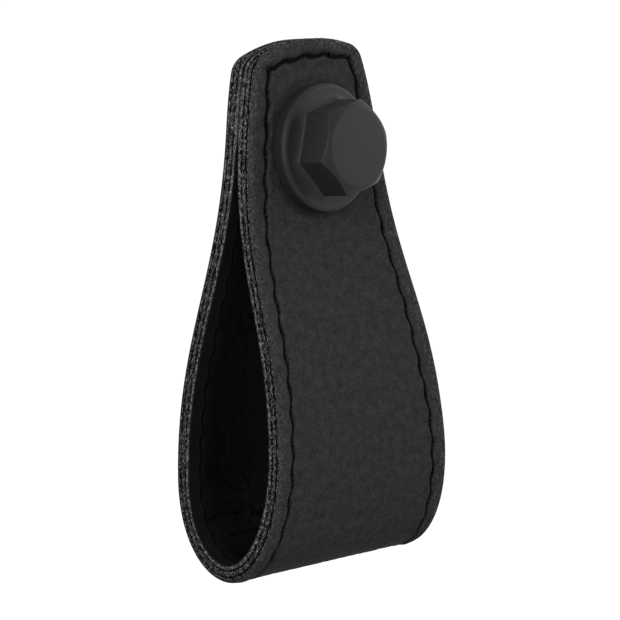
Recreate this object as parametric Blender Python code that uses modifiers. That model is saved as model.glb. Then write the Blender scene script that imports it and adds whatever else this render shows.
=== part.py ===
"""Leather loop knob for a cabinet door or drawer.

A strap of three leather plies is folded in half into a teardrop loop. Its two ends lie
together and are clamped by a metal head: a round flange under a hexagon, with a threaded
shank that passes through the ends. A seam runs round the strap, 2 mm in from its edge.

X is the strap's width, +Y points back towards the door, and Z is up. The origin is on the
shank's axis, in the plane of the door.
"""

import math

import bmesh
import bpy
from mathutils import Matrix, Vector

MM = 0.001

# Plies of the strap, from the grain side inwards
OUTER_PLY = 0.68 * MM
CORE_PLY = 0.68 * MM
LINING_PLY = 0.62 * MM
PLY_GAP = 0.06 * MM
ENDS_GAP = 0.10 * MM
LEG = OUTER_PLY + CORE_PLY + LINING_PLY + 2 * PLY_GAP
CLAMPED = 2 * LEG + ENDS_GAP

# Side view of the loop's grain face: heights from the shank's axis, depths from the legs' own planes
FOLD_DROP = 48.9 * MM
FOLD_FROM_DOOR = 0.2 * MM
FOLD_FRONT_REACH = 4.8 * MM
FOLD_BACK_REACH = 3.6 * MM
FRONT_BULGE = 4.83 * MM
FRONT_BULGE_DROP = 33.6 * MM
FRONT_LEAVES = 0.2 * MM
FRONT_UPPER_REACH = 15.4 * MM
FRONT_MIDDLE_REACH = 14.8 * MM
FRONT_LOWER_REACH = 9.1 * MM
BACK_BULGE = 7.9 * MM
BACK_BULGE_DROP = 37.1 * MM
BACK_LEAVES = 3.3 * MM
BACK_UPPER_REACH = 16.4 * MM
BACK_MIDDLE_REACH = 16.7 * MM
BACK_LOWER_REACH = 7.8 * MM
CURVE_STEPS = 11

# Front view of the strap's outline
FOLD_HALF_WIDTH = 14.8 * MM
TOP_HALF_WIDTH = 7.4 * MM
SIDE_LOWER_REACH = 40.0 * MM
SIDE_LOWER_SLOPE = 0.071
SIDE_UPPER_REACH = 5.0 * MM
SIDE_UPPER_SLOPE = 0.6
TOP_HEIGHT = 12.4 * MM
ARCH_RADIUS = 31.0 * MM
CORNER_RADIUS = 2.0 * MM
SIDE_STEPS = 28
ARCH_STEPS = 8
CORNER_STEPS = 6
TRIM_MARGIN = 2.0 * MM

# Seam: the thread on the grain face and the finer one on the lining
SEAM_INSET = 2.0 * MM
SEAM_CORNER = 0.5 * MM
NEEDLE_THREAD_RADIUS = 0.20 * MM
NEEDLE_THREAD_SINK = 0.06 * MM
BOBBIN_THREAD_RADIUS = 0.15 * MM
BOBBIN_THREAD_SINK = 0.16 * MM
THREAD_CLEARANCE = 0.08 * MM

# Metal head
FLANGE_RADIUS = 7.5 * MM
FLANGE_HEIGHT = 1.4 * MM
FLANGE_ROUNDING = 0.6 * MM
NECK_FILLET = 1.3 * MM
NECK_RADIUS = 5.0 * MM
HEX_ACROSS_FLATS = 10.0 * MM
HEX_TURN = math.radians(12.6)
HEX_HEIGHT = 5.2 * MM
HEX_SUNK = 0.98 * MM
HEX_FACE_RADIUS = 4.9 * MM
HEX_EDGE_ROUNDING = 0.25 * MM
SHANK_RADIUS = 2.8 * MM
SHANK_CLEARANCE = 0.3 * MM
SHANK_STOPS_SHORT = 0.3 * MM
TAPPED_HOLE_RADIUS = 1.65 * MM
TAPPED_HOLE_DEPTH = 8.0 * MM
FLANGE_STANDS_OFF = 0.2 * MM
DENT_CLEARANCE = 0.06 * MM
DENT_MARGIN = 0.15 * MM
TURNED_STEPS = 64
HOLE_STEPS = 32
FILLET_STEPS = 8
ROUNDING_STEPS = 6
ROUNDING_SEGMENTS = 2
WELD = 0.01 * MM

LEATHER_BLACK = (0.030, 0.030, 0.031)
CUT_LEATHER = (0.055, 0.054, 0.053)
LINING_BLACK = (0.018, 0.018, 0.018)
THREAD_BLACK = (0.010, 0.010, 0.010)
HEAD_BLACK = (0.040, 0.040, 0.041)


def clear_scene():
    """Remove what the scene holds, so that the script can be run again."""
    for obj in list(bpy.data.objects):
        bpy.data.objects.remove(obj, do_unlink=True)


def new_collection(name):
    collection = bpy.data.collections.new(name)
    bpy.context.scene.collection.children.link(collection)
    return collection


def material(name, colour, roughness, metallic=0.0):
    made = bpy.data.materials.new(name)
    made.use_nodes = True
    shader = made.node_tree.nodes["Principled BSDF"]
    shader.inputs["Base Color"].default_value = (*colour, 1.0)
    shader.inputs["Roughness"].default_value = roughness
    shader.inputs["Metallic"].default_value = metallic
    return made


def bezier(start, start_handle, end_handle, end, steps):
    """Points along one cubic Bezier stretch, without its last point."""
    points = []
    for step in range(steps):
        t = step / steps
        s = 1 - t
        point = start * s**3 + start_handle * 3 * s * s * t + end_handle * 3 * s * t * t + end * t**3
        points.append(point)
    return points


def loop_path():
    """Side view of the grain face as (y, z) points, from the front end round the fold to the back end."""
    front = -CLAMPED
    above = TOP_HEIGHT + TRIM_MARGIN
    front_leaves = Vector((front, FRONT_LEAVES))
    front_widest = Vector((front - FRONT_BULGE, -FRONT_BULGE_DROP))
    fold = Vector((-FOLD_FROM_DOOR, -FOLD_DROP))
    back_widest = Vector((BACK_BULGE, -BACK_BULGE_DROP))
    back_leaves = Vector((0.0, BACK_LEAVES))
    up = Vector((0.0, 1.0))
    back = Vector((1.0, 0.0))
    points = [Vector((front, above))]
    points += bezier(
        front_leaves,
        front_leaves - up * FRONT_UPPER_REACH,
        front_widest + up * FRONT_MIDDLE_REACH,
        front_widest,
        CURVE_STEPS,
    )
    points += bezier(
        front_widest,
        front_widest - up * FRONT_LOWER_REACH,
        fold - back * FOLD_FRONT_REACH,
        fold,
        CURVE_STEPS,
    )
    points += bezier(
        fold,
        fold + back * FOLD_BACK_REACH,
        back_widest - up * BACK_LOWER_REACH,
        back_widest,
        CURVE_STEPS,
    )
    points += bezier(
        back_widest,
        back_widest + up * BACK_MIDDLE_REACH,
        back_leaves - up * BACK_UPPER_REACH,
        back_leaves,
        CURVE_STEPS,
    )
    points += [back_leaves, Vector((0.0, above))]
    return points


def inset_path(points, depth):
    """The path moved into the leather by a depth, with each straight piece kept parallel to itself."""
    normals = []
    for a, b in zip(points, points[1:]):
        along = (b - a).normalized()
        normals.append(Vector((-along.y, along.x)))
    moved = []
    for index, point in enumerate(points):
        before = normals[max(index - 1, 0)]
        after = normals[min(index, len(normals) - 1)]
        middle = (before + after).normalized()
        moved.append(point + middle * (depth / middle.dot(after)))
    return moved


def side_curve():
    """Half of the strap's width as (x, z) points, from the fold up to the top."""
    bottom = Vector((FOLD_HALF_WIDTH, -FOLD_DROP))
    top = Vector((TOP_HALF_WIDTH, TOP_HEIGHT))
    lower = bottom + Vector((-SIDE_LOWER_SLOPE, 1.0)) * SIDE_LOWER_REACH
    upper = top - Vector((-SIDE_UPPER_SLOPE, 1.0)) * SIDE_UPPER_REACH
    return bezier(bottom, lower, upper, top, SIDE_STEPS) + [top]


def half_width(height):
    """Half of the strap's width at a height."""
    points = side_curve()
    for low, high in zip(points, points[1:]):
        if height <= high.y:
            share = (height - low.y) / (high.y - low.y)
            return low.x + (high.x - low.x) * max(share, 0.0)
    return points[-1].x


def half_outline(inset, corner):
    """Right half of the outline moved in by an inset: the side from the fold up, a round corner, half the arch."""
    centre_z = TOP_HEIGHT - ARCH_RADIUS
    arch = ARCH_RADIUS - inset
    side = inset_path(side_curve(), inset)
    rounding = inset_path(side_curve(), inset + corner)
    last = next(
        index
        for index, point in enumerate(rounding)
        if point.y > centre_z and math.hypot(point.x, point.y - centre_z) > arch - corner
    )
    low, high = rounding[last - 1], rounding[last]
    low_reach = math.hypot(low.x, low.y - centre_z)
    high_reach = math.hypot(high.x, high.y - centre_z)
    share = (arch - corner - low_reach) / (high_reach - low_reach)
    corner_centre = low.lerp(high, share)
    side_end = side[last - 1].lerp(side[last], share)
    start = math.atan2(side_end.y - corner_centre.y, side_end.x - corner_centre.x)
    end = math.atan2(corner_centre.y - centre_z, corner_centre.x)
    points = side[:last]
    for step in range(CORNER_STEPS + 1):
        angle = start + (end - start) * step / CORNER_STEPS
        points.append(corner_centre + Vector((math.cos(angle), math.sin(angle))) * corner)
    for step in range(1, ARCH_STEPS + 1):
        angle = end + (math.pi / 2 - end) * step / ARCH_STEPS
        points.append(Vector((math.cos(angle) * arch, centre_z + math.sin(angle) * arch)))
    return points


def mesh_from_curve(obj, collection):
    """A mesh object in place of a curve object, with its caps joined to its sides."""
    evaluated = obj.evaluated_get(bpy.context.evaluated_depsgraph_get())
    mesh = bpy.data.meshes.new_from_object(evaluated)
    cage = bmesh.new()
    cage.from_mesh(mesh)
    bmesh.ops.remove_doubles(cage, verts=cage.verts, dist=WELD)
    cage.to_mesh(mesh)
    cage.free()
    made = bpy.data.objects.new(obj.name + "_solid", mesh)
    made.matrix_world = obj.matrix_world.copy()
    collection.objects.link(made)
    bpy.data.objects.remove(obj, do_unlink=True)
    return made


def hide_cutter(obj):
    obj.hide_render = True
    obj.display_type = "WIRE"


def add_boolean(obj, cutter, operation):
    modifier = obj.modifiers.new(operation.title() + " " + cutter.name, "BOOLEAN")
    modifier.operation = operation
    modifier.object = cutter
    modifier.solver = "EXACT"


def outline_cutter(collection):
    """A prism along Y with the strap's front outline, open below the fold."""
    right = half_outline(0.0, CORNER_RADIUS)
    foot = Vector((right[0].x, -FOLD_DROP - TRIM_MARGIN))
    outline = [foot] + right + [Vector((-point.x, point.y)) for point in reversed([foot] + right[:-1])]
    curve = bpy.data.curves.new("strap_outline", "CURVE")
    curve.dimensions = "2D"
    curve.fill_mode = "BOTH"
    curve.extrude = CLAMPED + FRONT_BULGE + BACK_BULGE
    spline = curve.splines.new("POLY")
    spline.points.add(len(outline) - 1)
    for place, point in zip(spline.points, outline):
        place.co = (point.x, point.y, 0.0, 1.0)
    spline.use_cyclic_u = True
    obj = bpy.data.objects.new("strap_outline", curve)
    obj.rotation_euler = (math.pi / 2, 0.0, 0.0)
    collection.objects.link(obj)
    bpy.context.view_layer.update()
    cutter = mesh_from_curve(obj, collection)
    hide_cutter(cutter)
    return cutter


def cylinder(name, collection, radius, front, back, steps=TURNED_STEPS):
    """A cylinder round the shank's axis, between two places along Y."""
    bpy.ops.mesh.primitive_cylinder_add(
        vertices=steps,
        radius=radius,
        depth=back - front,
        location=(0.0, (front + back) / 2, 0.0),
        rotation=(math.pi / 2, 0.0, 0.0),
    )
    obj = bpy.context.object
    obj.name = name
    for owner in list(obj.users_collection):
        owner.objects.unlink(obj)
    collection.objects.link(obj)
    return obj


def seam_points(depth):
    """The seam round the whole strap as a closed line of points, at a depth below the grain face."""
    path = loop_path()
    sunk = inset_path(path, depth)
    outline = half_outline(SEAM_INSET, SEAM_CORNER)
    front = sunk[0].x
    back = sunk[-1].x
    upper = [point for point in outline if point.y > max(FRONT_LEAVES, BACK_LEAVES)]
    right = [Vector((point.x, front, point.y)) for point in reversed(upper)]
    for place, inner in zip(path[1:-1], sunk[1:-1]):
        right.append(Vector((half_width(place.y) - SEAM_INSET, inner.x, inner.y)))
    right += [Vector((point.x, back, point.y)) for point in upper]
    left = [Vector((-point.x, point.y, point.z)) for point in reversed(right[1:-1])]
    return right + left


def seam_tube(name, collection, depth, radius):
    """A round thread, or the channel for one, along the whole seam."""
    points = seam_points(depth)
    curve = bpy.data.curves.new(name, "CURVE")
    curve.dimensions = "3D"
    curve.bevel_depth = radius
    curve.bevel_resolution = 1
    spline = curve.splines.new("POLY")
    spline.points.add(len(points) - 1)
    for place, point in zip(spline.points, points):
        place.co = (*point, 1.0)
    spline.use_cyclic_u = True
    obj = bpy.data.objects.new(name, curve)
    collection.objects.link(obj)
    bpy.context.view_layer.update()
    return obj


def channel_cutter(name, collection, depth, thread_radius):
    tube = seam_tube(name, collection, depth, thread_radius + THREAD_CLEARANCE)
    cutter = mesh_from_curve(tube, collection)
    hide_cutter(cutter)
    return cutter


def strap_ply(name, collection, depth, thickness, look, cutters):
    """One ply: a sheet along the loop's path, thickened inwards, trimmed to the outline and punched."""
    reach = FOLD_HALF_WIDTH + TRIM_MARGIN
    cage = bmesh.new()
    row = [cage.verts.new((-reach, point.x, point.y)) for point in inset_path(loop_path(), depth)]
    edges = [cage.edges.new(pair) for pair in zip(row, row[1:])]
    swept = bmesh.ops.extrude_edge_only(cage, edges=edges)["geom"]
    moved = [item for item in swept if isinstance(item, bmesh.types.BMVert)]
    bmesh.ops.translate(cage, verts=moved, vec=(2 * reach, 0.0, 0.0))
    cage.normal_update()
    lowest = min(cage.faces, key=lambda face: face.calc_center_median().z)
    if lowest.normal.z > 0:
        bmesh.ops.reverse_faces(cage, faces=cage.faces)
    mesh = bpy.data.meshes.new(name)
    cage.to_mesh(mesh)
    cage.free()
    mesh.materials.append(look)
    obj = bpy.data.objects.new(name, mesh)
    collection.objects.link(obj)
    solid = obj.modifiers.new("Thickness", "SOLIDIFY")
    solid.thickness = thickness
    solid.offset = -1.0
    solid.use_even_offset = True
    add_boolean(obj, cutters["outline"], "INTERSECT")
    add_boolean(obj, cutters["shank_hole"], "DIFFERENCE")
    return obj


def head_profile():
    """Half section of the turned body as (radius, height) points, from its front down to the shank's end."""
    bottom = -(CLAMPED - SHANK_STOPS_SHORT + FLANGE_STANDS_OFF)
    fillet_centre = Vector((NECK_RADIUS + NECK_FILLET, FLANGE_HEIGHT + NECK_FILLET))
    rim_centre = Vector((FLANGE_RADIUS - FLANGE_ROUNDING, FLANGE_HEIGHT - FLANGE_ROUNDING))
    points = [Vector((0.0, fillet_centre.y))]
    for step in range(FILLET_STEPS + 1):
        angle = math.pi + math.pi / 2 * step / FILLET_STEPS
        points.append(fillet_centre + Vector((math.cos(angle), math.sin(angle))) * NECK_FILLET)
    for step in range(ROUNDING_STEPS + 1):
        angle = math.pi / 2 * (1 - step / ROUNDING_STEPS)
        points.append(rim_centre + Vector((math.cos(angle), math.sin(angle))) * FLANGE_ROUNDING)
    points += [
        Vector((FLANGE_RADIUS, 0.0)),
        Vector((SHANK_RADIUS, 0.0)),
        Vector((SHANK_RADIUS, bottom)),
        Vector((0.0, bottom)),
    ]
    return points


def hexagon(collection, seat):
    """The hexagon, standing on the flange, its front edge cut by a cone as if turned."""
    base = FLANGE_HEIGHT + NECK_FILLET - HEX_SUNK
    height = FLANGE_HEIGHT + HEX_HEIGHT - base
    corner = HEX_ACROSS_FLATS / 2 / math.cos(math.pi / 6)
    front = seat - base - height
    obj = cylinder("hexagon", collection, corner, front, seat - base, 6)
    cage = bmesh.new()
    cage.from_mesh(obj.data)
    bmesh.ops.rotate(cage, verts=cage.verts, matrix=Matrix.Rotation(HEX_TURN - math.pi / 2, 3, "Z"))
    cage.to_mesh(obj.data)
    cage.free()
    rounding = obj.modifiers.new("Rounded edges", "BEVEL")
    rounding.width = HEX_EDGE_ROUNDING
    rounding.segments = ROUNDING_SEGMENTS
    rounding.limit_method = "ANGLE"
    bpy.ops.mesh.primitive_cone_add(
        vertices=TURNED_STEPS,
        radius1=HEX_FACE_RADIUS + height + TRIM_MARGIN,
        radius2=HEX_FACE_RADIUS,
        depth=height + TRIM_MARGIN,
        location=(0.0, front + (height + TRIM_MARGIN) / 2, 0.0),
        rotation=(math.pi / 2, 0.0, 0.0),
    )
    cone = bpy.context.object
    cone.name = "hexagon_chamfer"
    for owner in list(cone.users_collection):
        owner.objects.unlink(cone)
    collection.objects.link(cone)
    add_boolean(obj, cone, "INTERSECT")
    hide_cutter(obj)
    hide_cutter(cone)
    return obj


def knob_head(collection, cutting, look):
    """Flange, hexagon and threaded shank, one piece of metal."""
    seat = -CLAMPED - FLANGE_STANDS_OFF
    points = head_profile()
    mesh = bpy.data.meshes.new("knob_head")
    mesh.from_pydata([(p.x, 0.0, p.y) for p in points], [(i, i + 1) for i in range(len(points) - 1)], [])
    mesh.materials.append(look)
    obj = bpy.data.objects.new("knob_head", mesh)
    obj.location = (0.0, seat, 0.0)
    obj.rotation_euler = (math.pi / 2, 0.0, 0.0)
    collection.objects.link(obj)
    turned = obj.modifiers.new("Turned", "SCREW")
    turned.steps = TURNED_STEPS
    turned.render_steps = TURNED_STEPS
    turned.use_merge_vertices = True
    turned.merge_threshold = WELD
    add_boolean(obj, hexagon(cutting, seat), "UNION")
    front = -SHANK_STOPS_SHORT - TAPPED_HOLE_DEPTH
    drill = cylinder("tapped_hole", cutting, TAPPED_HOLE_RADIUS, front, TRIM_MARGIN, HOLE_STEPS)
    hide_cutter(drill)
    add_boolean(obj, drill, "DIFFERENCE")
    return obj


def main():
    clear_scene()
    parts = new_collection("leather_loop_knob")
    cutting = new_collection("cutters")

    hole = cylinder(
        "shank_hole",
        cutting,
        SHANK_RADIUS + SHANK_CLEARANCE,
        -CLAMPED - TRIM_MARGIN,
        TRIM_MARGIN,
        HOLE_STEPS,
    )
    hide_cutter(hole)
    cutters = {"outline": outline_cutter(cutting), "shank_hole": hole}

    core_depth = OUTER_PLY + PLY_GAP
    lining_depth = core_depth + CORE_PLY + PLY_GAP
    bobbin_depth = LEG - BOBBIN_THREAD_SINK
    grain = material("black grained leather", LEATHER_BLACK, 0.62)
    cut = material("black split leather", CUT_LEATHER, 0.9)
    lining = material("black lining leather", LINING_BLACK, 0.75)
    thread = material("black thread", THREAD_BLACK, 0.8)
    metal = material("matte black metal", HEAD_BLACK, 0.5, 0.3)

    dent = cylinder(
        "flange_dent",
        cutting,
        FLANGE_RADIUS + DENT_MARGIN,
        -CLAMPED - FRONT_BULGE,
        -CLAMPED - FLANGE_STANDS_OFF + DENT_CLEARANCE,
    )
    hide_cutter(dent)

    outer = strap_ply("outer_leather", parts, 0.0, OUTER_PLY, grain, cutters)
    add_boolean(outer, dent, "DIFFERENCE")
    strap_ply("core_leather", parts, core_depth, CORE_PLY, cut, cutters)
    inner = strap_ply("lining_leather", parts, lining_depth, LINING_PLY, lining, cutters)
    add_boolean(
        outer, channel_cutter("needle_channel", cutting, NEEDLE_THREAD_SINK, NEEDLE_THREAD_RADIUS), "DIFFERENCE"
    )
    add_boolean(inner, channel_cutter("bobbin_channel", cutting, bobbin_depth, BOBBIN_THREAD_RADIUS), "DIFFERENCE")
    needle = seam_tube("needle_thread", parts, NEEDLE_THREAD_SINK, NEEDLE_THREAD_RADIUS)
    needle.data.materials.append(thread)
    bobbin = seam_tube("bobbin_thread", parts, bobbin_depth, BOBBIN_THREAD_RADIUS)
    bobbin.data.materials.append(thread)
    knob_head(parts, cutting, metal)


main()
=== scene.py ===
# %% [markdown]
# # A leather loop knob
#
# The knob is a strap of three leather plies, folded into a teardrop and clamped by a black metal head.
# The measured model comes first: it is the frame, and every new piece is laid over one of its parts.
# Lengths are in metres, X is the strap's width, +Y points back towards the door and Z is up.

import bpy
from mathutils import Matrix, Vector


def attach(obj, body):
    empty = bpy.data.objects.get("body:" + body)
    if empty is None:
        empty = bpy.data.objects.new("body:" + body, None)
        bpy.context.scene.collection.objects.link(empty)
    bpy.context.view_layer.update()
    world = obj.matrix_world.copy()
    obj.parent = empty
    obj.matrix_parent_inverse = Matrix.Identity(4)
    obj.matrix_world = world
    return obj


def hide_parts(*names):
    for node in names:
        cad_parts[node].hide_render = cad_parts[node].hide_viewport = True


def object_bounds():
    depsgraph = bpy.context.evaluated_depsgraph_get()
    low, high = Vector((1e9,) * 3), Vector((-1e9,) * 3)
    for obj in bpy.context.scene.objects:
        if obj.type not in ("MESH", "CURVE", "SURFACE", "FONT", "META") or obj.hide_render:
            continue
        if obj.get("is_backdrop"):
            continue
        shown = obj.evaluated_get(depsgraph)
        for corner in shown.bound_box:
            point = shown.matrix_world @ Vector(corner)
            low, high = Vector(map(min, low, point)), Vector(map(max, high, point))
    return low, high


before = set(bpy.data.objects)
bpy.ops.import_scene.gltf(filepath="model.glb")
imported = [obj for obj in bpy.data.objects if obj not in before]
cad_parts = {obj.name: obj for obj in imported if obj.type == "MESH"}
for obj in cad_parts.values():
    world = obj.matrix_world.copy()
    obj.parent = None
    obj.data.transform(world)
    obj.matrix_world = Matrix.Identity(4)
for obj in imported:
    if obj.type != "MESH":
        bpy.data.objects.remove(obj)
cad_box = [list(corner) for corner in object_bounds()]

import math

import bpy
import numpy as np
from mathutils import Matrix, Vector, noise

MM = 0.001
print("frame parts:", ", ".join(sorted(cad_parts)))

# %% [markdown]
# ## The camera
#
# The picture was taken from the left of the knob, a little above it, with a long lens.
# The place and the lens follow from how the strap's straight edges and the round flange look in it.
# The camera leans by a few degrees, so its three directions are given outright instead of an aim.

# %% The camera
CAMERA_PLACE = Vector((-318.669, -308.626, 23.114)) * MM
CAMERA_AZIMUTH = math.radians(46.07)
CAMERA_ELEVATION = math.radians(5.43)
CAMERA_ROLL = math.radians(3.69)
CAMERA_LENS = 221.0
SENSOR_WIDTH = 36.0


def camera_turn(azimuth, elevation, roll):
    """Axes of a camera that faces the door, turned by an azimuth, tilted down by an elevation and rolled."""
    forward = Vector((
        math.sin(azimuth) * math.cos(elevation),
        math.cos(azimuth) * math.cos(elevation),
        -math.sin(elevation),
    ))
    level_right = forward.cross(Vector((0.0, 0.0, 1.0))).normalized()
    level_up = level_right.cross(forward)
    right = level_right * math.cos(roll) - level_up * math.sin(roll)
    up = level_right * math.sin(roll) + level_up * math.cos(roll)
    return Matrix((right, up, -forward)).transposed()


camera_data = bpy.data.cameras.new("camera")
camera_data.lens = CAMERA_LENS
camera_data.sensor_width = SENSOR_WIDTH
camera_data.clip_start = 0.01
camera_data.clip_end = 100.0
camera = bpy.data.objects.new("camera", camera_data)
camera.matrix_world = Matrix.Translation(CAMERA_PLACE) @ camera_turn(
    CAMERA_AZIMUTH, CAMERA_ELEVATION, CAMERA_ROLL
).to_4x4()
bpy.context.scene.collection.objects.link(camera)
bpy.context.scene.camera = camera
print("camera distance: %.1f mm" % (CAMERA_PLACE.length / MM))

# %% [markdown]
# ## The studio
#
# A small product is photographed on white, with large soft lamps on both sides.
# The floor lies well below the knob, which hangs as it does on a door. It is white paint to the lamps,
# and its glow is only for the camera, for mirrors and for glass, so it adds no light to the leather.
# The knob's shadow still shows on it.

# %% White for the camera, grey for the light
bpy.context.scene.view_settings.view_transform = "Standard"
FLOOR_HEIGHT = -0.12
FLOOR_SIZE = 40.0
AMBIENT = 0.44
FLOOR_PAINT = 0.45
FLOOR_GLOW = 0.84


def deselect():
    """Nothing selected, so that the next operator acts on its own piece alone."""
    if bpy.context.object and bpy.context.object.mode != "OBJECT":
        bpy.ops.object.mode_set(mode="OBJECT")
    bpy.ops.object.select_all(action="DESELECT")


def shader_node(tree, kind, inputs=None, **settings):
    """Add a shader node; an input is a number, a colour, or another node's output."""
    made = tree.nodes.new("ShaderNode" + kind)
    for key, value in settings.items():
        setattr(made, key, value)
    for key, value in (inputs or {}).items():
        if isinstance(value, bpy.types.NodeSocket):
            tree.links.new(value, made.inputs[key])
        else:
            made.inputs[key].default_value = value
    return made


def maths(tree, operation, first, second=0.0):
    return shader_node(tree, "Math", {0: first, 1: second}, operation=operation).outputs[0]


def grey(level):
    return (level, level, level, 1.0)


def seen_directly(tree):
    """1 for the camera's own rays and for rays that a mirror or glass passes on, otherwise 0."""
    path = shader_node(tree, "LightPath").outputs
    mirrors = maths(tree, "MAXIMUM", path["Is Glossy Ray"], path["Is Transmission Ray"])
    return maths(tree, "MAXIMUM", path["Is Camera Ray"], mirrors)


world = bpy.data.worlds.new("studio")
world.use_nodes = True
bpy.context.scene.world = world
tree = world.node_tree
ambient = tree.nodes["Background"]
ambient.inputs["Color"].default_value = grey(1.0)
ambient.inputs["Strength"].default_value = AMBIENT
white = shader_node(tree, "Background", {"Color": grey(1.0), "Strength": 1.0})
choice = shader_node(tree, "MixShader", {"Fac": seen_directly(tree), 1: ambient.outputs[0], 2: white.outputs[0]})
tree.links.new(choice.outputs[0], tree.nodes["World Output"].inputs["Surface"])

deselect()
bpy.ops.mesh.primitive_plane_add(size=FLOOR_SIZE, location=(0.0, 0.0, FLOOR_HEIGHT))
floor = bpy.context.object
floor.name = "studio_floor"
floor_paint = bpy.data.materials.new("studio floor")
floor_paint.use_nodes = True
tree = floor_paint.node_tree
paint = tree.nodes["Principled BSDF"]
paint.inputs["Base Color"].default_value = grey(FLOOR_PAINT)
paint.inputs["Roughness"].default_value = 1.0
paint.inputs["Specular IOR Level"].default_value = 0.0
glow = shader_node(tree, "Emission", {"Strength": maths(tree, "MULTIPLY", seen_directly(tree), FLOOR_GLOW)})
both = shader_node(tree, "AddShader", {0: paint.outputs[0], 1: glow.outputs[0]})
tree.links.new(both.outputs[0], tree.nodes["Material Output"].inputs["Surface"])
floor.data.materials.append(floor_paint)
floor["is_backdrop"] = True
print("floor %.0f mm below the shank" % (-FLOOR_HEIGHT / MM))

# %% Two soft lamps
LAMPS = {
    "left_softbox": {"place": (-0.62, -0.33, 0.15), "size": 0.6, "power": 3.3},
    "right_softbox": {"place": (0.60, -0.40, 0.16), "size": 0.5, "power": 1.4},
}
LAMP_AIM = Vector((0.0, 0.0, -0.018))
for name, lamp in LAMPS.items():
    light = bpy.data.lights.new(name, "AREA")
    light.shape = "SQUARE"
    light.size = lamp["size"]
    light.energy = lamp["power"]
    holder = bpy.data.objects.new(name, light)
    place = Vector(lamp["place"])
    aim = LAMP_AIM - place
    holder.matrix_world = Matrix.Translation(place) @ aim.to_track_quat("-Z", "Y").to_matrix().to_4x4()
    bpy.context.scene.collection.objects.link(holder)
    print(name, "at %.2f m" % aim.length)

# %% [markdown]
# ## The strap as a flat blank
#
# The real strap is cut flat, stitched, then bent round and clamped. The same order works here:
# each ply is modelled flat, with its grain, its groove and its cut edge, and is folded afterwards.
# On the flat blank X runs across the strap and Y along it, from the front end round to the back end,
# and the height is how far a point lies into the leather from the grain side.
# Two curves shape it: the loop seen from the side, and the strap's outline seen from the front.

# %% Measures of the strap
OUTER_PLY = 0.68
CORE_PLY = 0.68
LINING_PLY = 0.62
PLY_GAP = 0.06
ENDS_GAP = 0.10
CORE_TOP = OUTER_PLY + PLY_GAP
LINING_TOP = CORE_TOP + CORE_PLY + PLY_GAP
LEG = LINING_TOP + LINING_PLY
CLAMPED = 2 * LEG + ENDS_GAP
TOP_HEIGHT = 12.65
FOLD_DROP = 48.9
FOLD_HALF_WIDTH = 15.08
TOP_HALF_WIDTH = 7.65
ARCH_RADIUS = 22.0
END_LEAN = 0.03
CORNER_REACH = 1.0
STRAIGHT_END = 9.0
CURVE_STEPS = 240


def bezier(start, start_handle, end_handle, end, steps=CURVE_STEPS):
    """Points and directions along one cubic Bezier stretch, without its last point."""
    t = np.linspace(0.0, 1.0, steps, endpoint=False)[:, None]
    s = 1.0 - t
    points = start * s**3 + 3 * start_handle * s * s * t + 3 * end_handle * s * t * t + end * t**3
    turns = (
        3 * (start_handle - start) * s * s
        + 6 * (end_handle - start_handle) * s * t
        + 3 * (end - end_handle) * t * t
    )
    return points, turns / np.linalg.norm(turns, axis=1)[:, None]


# %% The loop, seen from the side
BULGE_FRONT = -CLAMPED - 4.83
BULGE_BACK = 7.9
LOOP_HANDLES = [np.array(point) for point in (
    (-CLAMPED, 0.2), (-CLAMPED, -15.2),
    (BULGE_FRONT, -18.8), (BULGE_FRONT, -33.6), (BULGE_FRONT, -42.7),
    (-5.0, -FOLD_DROP), (-0.2, -FOLD_DROP), (3.4, -FOLD_DROP),
    (BULGE_BACK, -44.9), (BULGE_BACK, -37.1), (BULGE_BACK, -20.4),
    (0.0, -13.1), (0.0, 3.3),
)]


def side_view(handles):
    """The grain face from the front end to the back end: distance along it, place, direction inwards."""
    points = [np.array([[-CLAMPED, TOP_HEIGHT]])]
    turns = [np.array([[0.0, -1.0]])]
    for first in range(0, len(handles) - 1, 3):
        stretch = bezier(*handles[first:first + 4])
        points.append(stretch[0])
        turns.append(stretch[1])
    points.append(np.array([handles[-1], [0.0, TOP_HEIGHT]]))
    turns.append(np.array([[0.0, 1.0], [0.0, 1.0]]))
    places = np.concatenate(points)
    along = np.concatenate(turns)
    steps = np.linalg.norm(np.diff(places, axis=0), axis=1)
    distance = np.concatenate([[0.0], np.cumsum(steps)])
    return distance, places, np.stack([-along[:, 1], along[:, 0]], axis=1)


PATH_S, PATH_YZ, PATH_IN = side_view(LOOP_HANDLES)
LENGTH = PATH_S[-1]


def folded(across, along, depth):
    """Where points of the flat blank come to lie once the strap is folded, in metres."""
    inward = np.stack([np.interp(along, PATH_S, PATH_IN[:, k]) for k in (0, 1)], axis=1)
    inward /= np.linalg.norm(inward, axis=1)[:, None]
    y = np.interp(along, PATH_S, PATH_YZ[:, 0]) + inward[:, 0] * depth
    z = np.interp(along, PATH_S, PATH_YZ[:, 1]) + inward[:, 1] * depth
    return np.stack([across, y, z], axis=1) * MM


turn = np.linalg.norm(np.diff(PATH_IN, axis=0), axis=1) / np.maximum(np.diff(PATH_S), 1e-6)
print("strap length %.1f mm, tightest bend %.2f mm" % (LENGTH, 1.0 / turn.max()))

# %% The outline, seen from the front
LOWER_REACH = 40.0
LOWER_SLANT = 0.071
UPPER_REACH = 5.0
UPPER_SLANT = 0.65
OUTLINE_STEPS = 80
ARCH_LIMIT = 12.0

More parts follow.
